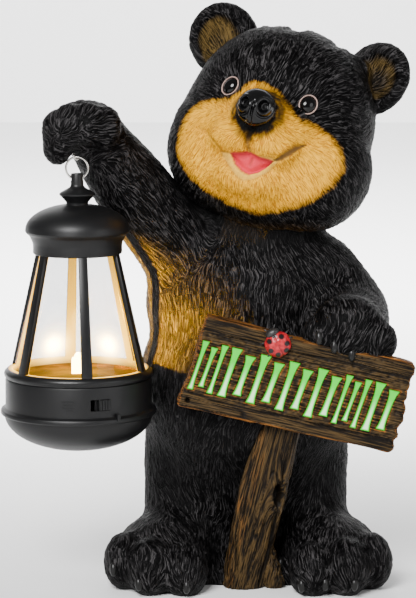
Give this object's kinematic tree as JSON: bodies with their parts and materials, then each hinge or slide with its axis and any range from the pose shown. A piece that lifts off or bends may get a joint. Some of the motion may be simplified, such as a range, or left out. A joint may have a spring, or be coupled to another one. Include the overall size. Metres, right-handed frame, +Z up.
{
  "type": "garden bear statue with lantern",
  "caption": "Standing bear cub garden statue that holds up a ribbed hanging lantern in one paw and rests the other on a tilted wooden board on a post",
  "frame": {"origin": "on the flat underside, in the middle between the feet", "axes": "+Z up; the cub's chest faces -Y; the raised paw and the lantern are on the -X side and the board's ragged end is on the +X side"},
  "size_m": [0.2409, 0.1763, 0.34],
  "materials": {
    "painted_resin": "black paint over carved fur, satin",
    "steel_wire": "bright bent wire",
    "black_plastic": "satin moulded",
    "clear_plastic": "clear moulded",
    "lamp": "lit warm white"
  },
  "bodies": {
    "statue": {"bear_statue": "painted_resin", "paw_eye": "steel_wire", "hanging_ring": "steel_wire", "lantern_cap": "black_plastic", "lantern_frame": "black_plastic", "lantern_glass": "clear_plastic", "lantern_base": "black_plastic", "battery_cover": "black_plastic", "led_module": "lamp"},
    "switch": {"switch_slider": "black_plastic"}
  },
  "joints": [
    {"name": "switch_slide", "type": "slide", "parent": "statue", "child": "switch", "axis": [0.9397, 0.342, 0], "range_m": [-0.0044, 0]}
  ]
}
